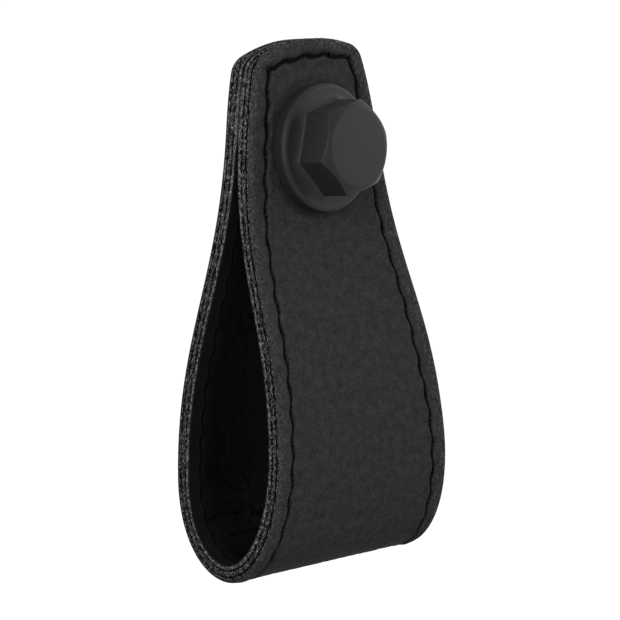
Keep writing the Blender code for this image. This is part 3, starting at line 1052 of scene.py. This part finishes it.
def arc(centre, radius, start, end, steps):
    """Points of a quarter or part circle in the section, from one angle to another in degrees."""
    angles = np.radians(np.linspace(start, end, steps + 1))
    return [(centre[0] + radius * math.cos(a), centre[1] + radius * math.sin(a)) for a in angles]


def head_section():
    """Half section as (radius, height above the leather), from the middle of the front to the tapped hole."""
    crowned = [CROWN_RADIUS * share for share in np.linspace(0.0, 1.0, 12)[:-1]]
    section = [(r, HEAD_FRONT - FRONT_CROWN * (r / CROWN_RADIUS) ** 3) for r in crowned]
    bevel_turn = math.degrees(math.atan(FRONT_BEVEL))
    crown_turn = math.atan(3 * FRONT_CROWN / CROWN_RADIUS)
    centre = (
        CROWN_RADIUS - FRONT_ROUNDING * math.sin(crown_turn),
        HEAD_FRONT - FRONT_CROWN - FRONT_ROUNDING * math.cos(crown_turn),
    )
    section += arc(centre, FRONT_ROUNDING, 90.0 - math.degrees(crown_turn), 90.0 - bevel_turn, 12)
    bevel_start = section[-1]
    for share in np.linspace(0.0, 1.0, 15)[1:]:
        radius = bevel_start[0] + (TURNED_WIDE - bevel_start[0]) * share
        section.append((radius, bevel_start[1] - FRONT_BEVEL * (radius - bevel_start[0])))
    section += [(TURNED_WIDE, h) for h in np.linspace(section[-1][1], SHOULDER, 14)[1:]]
    for turned in np.radians(np.linspace(0.0, 90.0, 19)[1:]):
        share = 1.0 - math.cos(turned)
        radius = TURNED_WIDE + (CREST_RADIUS - TURNED_WIDE) * share
        section.append((radius, SHOULDER - NECK_FILLET * math.sin(turned)))
    crest_centre = (FLANGE_RADIUS - FLANGE_ROUNDING, FLANGE_HEIGHT - FLANGE_ROUNDING)
    section += arc(crest_centre, FLANGE_ROUNDING, 90.0, 0.0, 12)
    section += arc((FLANGE_RADIUS - FLANGE_UNDERSIDE, FLANGE_UNDERSIDE), FLANGE_UNDERSIDE, 0.0, -90.0, 8)
    section += [
        (5.0, 0.0), (SHANK_RADIUS + 0.1, 0.0), (SHANK_RADIUS, -0.1), (SHANK_RADIUS, -2.0),
        (SHANK_RADIUS, SHANK_END + 0.15), (SHANK_RADIUS - 0.15, SHANK_END), (2.2, SHANK_END), (2.0, SHANK_END),
    ]
    bottom = SHANK_END + TAPPED_DEPTH
    rows = int(round((TAPPED_DEPTH - 0.6) / 0.09))
    section += [(TAPPED_RADIUS, h) for h in np.linspace(SHANK_END + 0.3, bottom - 0.3, rows)]
    section += [(TAPPED_RADIUS, bottom), (0.0, bottom + 0.6)]
    return section


section = head_section()
mesh = bpy.data.meshes.new("black_metal_head")
corners = [(r * MM, (SEAT - h) * MM, 0.0) for r, h in section]
mesh.from_pydata(corners, [(i, i + 1) for i in range(len(section) - 1)], [])
head = bpy.data.objects.new("black_metal_head", mesh)
bpy.context.scene.collection.objects.link(head)
only(head)
bpy.ops.object.mode_set(mode="EDIT")
bpy.ops.mesh.select_all(action="SELECT")
bpy.ops.mesh.spin(steps=SPIN_STEPS, angle=2 * math.pi, center=(0.0, 0.0, 0.0), axis=(0.0, 1.0, 0.0))
bpy.ops.mesh.select_all(action="SELECT")
bpy.ops.mesh.remove_doubles(threshold=0.002 * MM)
bpy.ops.mesh.normals_make_consistent(inside=False)
bpy.ops.object.mode_set(mode="OBJECT")
print("head section: %d points, head: %d faces" % (len(section), len(head.data.polygons)))

# %% Six flats and a tapped hole
EDGE_SOFT = 0.06
CORNER_SOFT = 0.11


def soft_min(values, softness):
    """The smallest of several arrays, with a soft change from one to the next."""
    stack = np.stack(values)
    low = stack.min(axis=0)
    return low - softness * np.log(np.exp(-(stack - low) / softness).sum(axis=0))


co = read_points(head) / MM
radius = np.hypot(co[:, 0], co[:, 2])
angle = np.arctan2(co[:, 2], co[:, 0])
height = SEAT - co[:, 1]
flats = []
for side in range(6):
    facing = np.cos(angle - HEX_TURN - math.radians(30.0 + 60.0 * side))
    flats.append(np.where(facing > 0.2, HEX_FLAT / np.maximum(facing, 0.2), 40.0))
flat_radius = soft_min(flats, CORNER_SOFT)
grip = (height > SHOULDER - 0.001) & (radius > TAPPED_RADIUS + 0.5)
on_ring = (radius > TURNED_WIDE - 0.001) & (radius < CREST_RADIUS + 0.001)
fillet = (height > FLANGE_HEIGHT - 0.001) & ~grip & on_ring
tapped = (radius < TAPPED_RADIUS + 0.01) & (radius > TAPPED_RADIUS - 0.01)
turn = (height - SHANK_END) / THREAD_PITCH + angle / (2 * math.pi)
ridge = 1.0 - np.abs(2.0 * (turn - np.floor(turn)) - 1.0)
fresh = np.where(grip, soft_min([radius, flat_radius], EDGE_SOFT), radius)
away = (radius - TURNED_WIDE) / (CREST_RADIUS - TURNED_WIDE)
fresh = np.where(fillet, flat_radius + away * (CREST_RADIUS - flat_radius), fresh)
fresh = np.where(tapped, radius + THREAD_CUT * np.clip(ridge * 1.3 - 0.15, 0.0, 1.0), fresh)
scale = np.where(radius > 1e-6, fresh / np.maximum(radius, 1e-6), 1.0)
co[:, 0] *= scale
co[:, 2] *= scale
head.data.vertices.foreach_set("co", (co * MM).ravel())
head.data.update()
only(head)
bpy.ops.object.shade_smooth_by_angle(angle=math.radians(40.0))
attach(head, "root")
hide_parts("knob_head")
print("hexagon: %.2f mm across flats, front %.2f mm from the door" % (2 * flat_radius.min(), HEAD_FRONT - SEAT))

# %% [markdown]
# ## Finishes
#
# All five finishes are black, so they differ by grain, gloss and light rather than by colour.
# Image textures could carry them, but noise nodes need no files and stay sharp at any distance.
# Small helpers add the nodes and join them. The leather's patterns are laid on the flat map in millimetres,
# so they run with the strap through the fold. Those of the thread and the metal, and the clumps on the
# cut edge, are laid on the object's own coordinates.

# %% Helpers for nodes
FLAT_SHEET = 150.0


def ramp(tree, value, stops):
    """A straight ramp from (place, level) stops."""
    made = shader_node(tree, "ValToRGB", {"Fac": value})
    marks = made.color_ramp.elements
    while len(marks) < len(stops):
        marks.new(0.5)
    for mark, (place, level) in zip(marks, stops):
        mark.position = place
        mark.color = grey(level)
    return made.outputs["Color"]


def blend(tree, share, low, high):
    """Mix two colours by a share. A Mix node's inputs 6 and 7 and its output 2 are the ones for colours."""
    return shader_node(tree, "Mix", {0: share, 6: low, 7: high}, data_type="RGBA").outputs[2]


def apart(tree, value, middle):
    """How far a value is from a middle one, on either side."""
    return maths(tree, "ABSOLUTE", maths(tree, "SUBTRACT", value, middle))


def speckle(tree, place, scale, detail, rough=0.5):
    """A noise pattern with so many waves in a millimetre."""
    inputs = {"Vector": place, "Scale": scale, "Detail": detail, "Roughness": rough}
    return shader_node(tree, "TexNoise", inputs).outputs["Fac"]


def bare_finish(name, roughness, specular):
    """A material with its principled shader at a plain roughness and gloss."""
    material = bpy.data.materials.new(name)
    material.use_nodes = True
    shader = material.node_tree.nodes["Principled BSDF"]
    shader.inputs["Roughness"].default_value = roughness
    shader.inputs["Specular IOR Level"].default_value = specular
    return material, material.node_tree, shader


def flat_leather(tree):
    """The flat map, in millimetres across and along the strap."""
    sheet = shader_node(tree, "UVMap", uv_map="flat_leather")
    return shader_node(tree, "Mapping", {"Vector": sheet.outputs[0], "Scale": (FLAT_SHEET,) * 3}).outputs[0]


def in_space(tree):
    """The object's own coordinates, in millimetres."""
    place = shader_node(tree, "TexCoord").outputs["Object"]
    return shader_node(tree, "Mapping", {"Vector": place, "Scale": (1000.0, 1000.0, 1000.0)}).outputs[0]


def attribute(tree, name):
    return shader_node(tree, "Attribute", attribute_name=name).outputs["Fac"]


def raised(tree, height, distance, before=None):
    """A bump of so many millimetres, laid over another one."""
    inputs = {"Height": height, "Distance": distance * MM, "Strength": 1.0}
    if before is not None:
        inputs["Normal"] = before
    return shader_node(tree, "Bump", inputs).outputs[0]


def wear(piece, material):
    """Give one piece this material alone."""
    piece.data.materials.clear()
    piece.data.materials.append(material)
    print(piece.name, "wears", material.name)


print("flat map: %.0f mm of leather fill it" % FLAT_SHEET)

# %% [markdown]
# ## The cut edge's finish
#
# A blade has opened the leather's fibres here, and dye has soaked in unevenly. One noise stretched along the
# strap gives the fibres, a second one their clumps, and the stored depth says where two plies meet.
# All three plies share this look, so it is written once, and the core wears nothing else.

# %% Raw cut leather
OUTER_JOINT = OUTER_PLY + PLY_GAP / 2
INNER_JOINT = LINING_TOP - PLY_GAP / 2


def cut_look(tree, lift=0.0):
    """Colour and height of a dyed cut edge: fibres, pits, a dark line at each joint, and paler towards the ends.
    """
    sheet_map = flat_leather(tree)
    sheet = shader_node(tree, "SeparateXYZ", {0: sheet_map})
    depth = attribute(tree, "depth")
    strands = shader_node(tree, "CombineXYZ", {
        "X": maths(tree, "MULTIPLY", sheet.outputs[0], 3.2),
        "Y": maths(tree, "MULTIPLY", sheet.outputs[1], 2.4),
        "Z": maths(tree, "MULTIPLY", depth, 6.0),
    }).outputs[0]
    fibre = speckle(tree, strands, 1.0, 2.0, 0.7)
    clump = speckle(tree, in_space(tree), 6.0, 2.0, 0.6)
    torn = ramp(tree, speckle(tree, sheet_map, 1.3, 2.0, 0.6), [(0.40, 0.15), (0.56, 1.0)])
    height = maths(tree, "ADD", maths(tree, "MULTIPLY", fibre, 0.65), maths(tree, "MULTIPLY", clump, 0.35))
    level = maths(tree, "ADD", height, lift)
    for joint in (OUTER_JOINT, INNER_JOINT):
        line = maths(tree, "MULTIPLY", torn, ramp(tree, apart(tree, depth, joint), [(0.05, 0.18), (0.17, 0.0)]))
        level = maths(tree, "SUBTRACT", level, line)
    # The cut edge is made paler towards the strap's ends, up by the head.
    from_middle = maths(tree, "DIVIDE", apart(tree, sheet.outputs[1], LENGTH / 2), LENGTH / 2)
    level = maths(tree, "ADD", level, ramp(tree, from_middle, [(0.45, 0.0), (0.80, 0.020)]))
    colour = ramp(tree, level, [(0.38, 0.0005), (0.44, 0.009), (0.50, 0.048), (0.56, 0.125), (0.64, 0.30)])
    return colour, height


split, tree, shader = bare_finish("split leather", 0.9, 0.1)
colour, height = cut_look(tree, -0.01)
tree.links.new(colour, shader.inputs["Base Color"])
tree.links.new(raised(tree, height, 0.45), shader.inputs["Normal"])
wear(core, split)

# %% [markdown]
# ## The grain's finish
#
# Full-grain leather has fine pores on its pebbles. Painted shade darkens it in the groove and holes of the
# seam and towards the fold, where the loop turns away from the lamps. The dye has worn thin along its
# margins, and the right margin is paler still as painted light from the right. Ramps of the stored distance
# to the edge, of the seam's depth and of the distance from the fold place these tones on the flat map.

# %% Grain leather
FOLD_SHADE_REACH = 20.0

grain, tree, shader = bare_finish("grain leather", 0.6, 0.01)
sheet = flat_leather(tree)
pores = speckle(tree, sheet, 3.2, 3.0, 0.65)
cells = shader_node(tree, "TexVoronoi", {"Vector": sheet, "Scale": 2.0}, feature="DISTANCE_TO_EDGE")
cell_height = ramp(tree, cells.outputs["Distance"], [(0.0, 0.0), (0.18, 1.0)])
tone = speckle(tree, sheet, 0.9, 5.0, 0.7)
dust = speckle(tree, sheet, 4.5, 2.0, 0.8)
fleck = maths(tree, "ADD", maths(tree, "MULTIPLY", tone, 0.45), maths(tree, "MULTIPLY", dust, 0.55))
face_colour = blend(tree, ramp(tree, fleck, [(0.36, 0.0), (0.64, 1.0)]), grey(0.0186), grey(0.0600))
margin = ramp(
    tree, maths(tree, "MULTIPLY", attribute(tree, "edge"), 0.5),
    [(0.20, 1.0), (0.48, 0.40), (0.80, 0.35), (0.90, 0.0)],
)
share_of_sheet = shader_node(tree, "UVMap", uv_map="flat_leather").outputs[0]
across = shader_node(tree, "SeparateXYZ", {0: share_of_sheet}).outputs[0]
# Painted light: the right margin takes more of the paler cut colour than the left, as if lit from the right.
margin_wear_and_right_light = ramp(tree, across, [(0.50, 0.20), (0.53, 0.50)])
along = shader_node(tree, "SeparateXYZ", {0: sheet}).outputs[1]
# Painted shade: the colour darkens towards the fold, where the underside faces away from the lamps.
from_fold = maths(tree, "DIVIDE", apart(tree, along, FOLD_AT), FOLD_SHADE_REACH)
painted_fold_shade = ramp(tree, from_fold, [(0.0, 0.90), (0.06, 0.50), (0.20, 0.24), (0.42, 0.0)])
face_colour = blend(tree, painted_fold_shade, face_colour, grey(0.0030))
# Painted shade: the seam's groove and holes are darkened, broken into dashes by a noise.
seam_pits = speckle(tree, sheet, 3.2, 2.0, 0.7)
painted_groove_shade = maths(
    tree, "MULTIPLY",
    ramp(tree, attribute(tree, "seam"), [(0.15, 0.0), (0.85, 1.0)]),
    ramp(tree, seam_pits, [(0.42, 0.35), (0.55, 1.0)]),
)
face_colour = blend(tree, painted_groove_shade, face_colour, grey(0.0008))
cut_colour, cut_height = cut_look(tree)
cut_share = attribute(tree, "cut")
face_colour = blend(tree, maths(tree, "MULTIPLY", margin, margin_wear_and_right_light), face_colour, cut_colour)
tree.links.new(blend(tree, cut_share, face_colour, cut_colour), shader.inputs["Base Color"])
roughness = ramp(tree, pores, [(0.3, 0.54), (0.7, 0.68)])
tree.links.new(blend(tree, cut_share, roughness, grey(0.92)), shader.inputs["Roughness"])
bump = raised(tree, pores, 0.085)
bump = raised(tree, cell_height, 0.016, bump)
bump = raised(tree, maths(tree, "MULTIPLY", cut_height, cut_share), 0.40, bump)
tree.links.new(bump, shader.inputs["Normal"])
wear(outer, grain)

# %% [markdown]
# ## The lining's finish
#
# The lining is smooth and deep black. Painted light makes its margin a little paler, where light reaches in at
# the loop's open sides, and painted shade keeps its creases and its seam darkest. The same helpers are used,
# with smoother values.

# %% Lining leather
smooth_lining, tree, shader = bare_finish("lining leather", 0.6, 0.03)
sheet = flat_leather(tree)
pores = speckle(tree, sheet, 3.0, 4.0)
drift = speckle(tree, sheet, 0.35, 4.0, 0.65)
face_colour = blend(tree, ramp(tree, drift, [(0.38, 0.0), (0.66, 1.0)]), grey(0.0004), grey(0.0025))
# Painted light: the lining is paler within a few millimetres of its edge.
painted_edge_light = ramp(tree, maths(tree, "MULTIPLY", attribute(tree, "edge"), 0.2), [(0.30, 0.0064), (0.75, 0.0)])
face_colour = shader_node(tree, "VectorMath", {0: face_colour, 1: painted_edge_light}, operation="ADD").outputs[0]
# Painted shade in the seam and in the creases across the fold, broken into dashes by a noise.
seam_pits = speckle(tree, sheet, 1.8, 2.0, 0.7)
painted_groove_shade = maths(tree, "MULTIPLY", attribute(tree, "seam"), ramp(tree, seam_pits, [(0.42, 0.15), (0.54, 1.0)]))
face_colour = blend(tree, painted_groove_shade, face_colour, grey(0.0003))
cut_colour, cut_height = cut_look(tree, 0.025)
cut_share = attribute(tree, "cut")
tree.links.new(blend(tree, cut_share, face_colour, cut_colour), shader.inputs["Base Color"])
tree.links.new(blend(tree, cut_share, grey(0.6), grey(0.9)), shader.inputs["Roughness"])
bump = raised(tree, pores, 0.02)
bump = raised(tree, maths(tree, "MULTIPLY", cut_height, cut_share), 0.35, bump)
tree.links.new(bump, shader.inputs["Normal"])
wear(lining, smooth_lining)

# %% [markdown]
# ## Thread and powder coat
#
# The seam is sewn with bonded thread, whose resin gives it a dull gloss. The head is powder coated: the melted
# powder leaves a fine orange peel, with duller specks on it. Both are even, so noise in the object's own
# millimetres is enough and neither needs a flat map.

# %% The finishes of the thread and the head
thread, tree, shader = bare_finish("bonded thread", 0.7, 0.06)
fibre = speckle(tree, in_space(tree), 9.0, 3.0)
tree.links.new(blend(tree, fibre, grey(0.0008), grey(0.0050)), shader.inputs["Base Color"])
tree.links.new(raised(tree, fibre, 0.03), shader.inputs["Normal"])
for piece in (needle, bobbin):
    wear(piece, thread)

coat, tree, shader = bare_finish("black powder coat", 0.42, 0.15)
place = in_space(tree)
peel = speckle(tree, place, 3.5, 2.0)
speck = speckle(tree, place, 14.0, 2.0)
tree.links.new(blend(tree, peel, grey(0.0165), grey(0.0220)), shader.inputs["Base Color"])
tree.links.new(ramp(tree, speck, [(0.3, 0.36), (0.7, 0.48)]), shader.inputs["Roughness"])
tree.links.new(raised(tree, speck, 0.004, raised(tree, peel, 0.006)), shader.inputs["Normal"])
wear(head, coat)

# %% [markdown]
# ## Size
#
# The dressed knob's box is printed beside the measured model's. The dressed knob may not outgrow the
# measured model.

# %% Sizes and the end
dressed_box = [list(corner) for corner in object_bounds()]
for label, box in (("measured", cad_box), ("dressed", dressed_box)):
    print(label, "size: %.2f x %.2f x %.2f mm" % tuple((b - a) / MM for a, b in zip(*box)))
